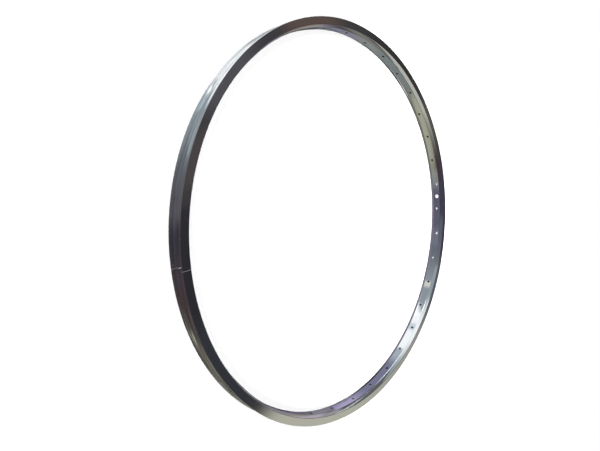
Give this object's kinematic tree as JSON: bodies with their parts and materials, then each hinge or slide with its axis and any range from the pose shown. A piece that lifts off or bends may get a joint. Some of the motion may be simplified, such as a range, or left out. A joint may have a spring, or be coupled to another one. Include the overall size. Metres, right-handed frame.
{
  "type": "bicycle rim",
  "caption": "Bare aluminium bicycle rim: hooked tyre channel with a sunk well, hollow shoulders, flat brake tracks, staggered spoke holes and a valve hole.",
  "frame": {"origin": "the wheel's centre, on the rim's middle plane", "axes": "+Z along the wheel's axis, towards the side that the picture shows; +X out through the valve hole; the seam is on -X"},
  "size_m": [0.6339, 0.634, 0.026],
  "materials": {
    "rim_alloy": "bright polished, clear anodised",
    "insert_alloy": "mill finish"
  },
  "bodies": {
    "root": {"rim_hoop": "rim_alloy", "joint_inserts": "insert_alloy"}
  },
  "joints": []
}
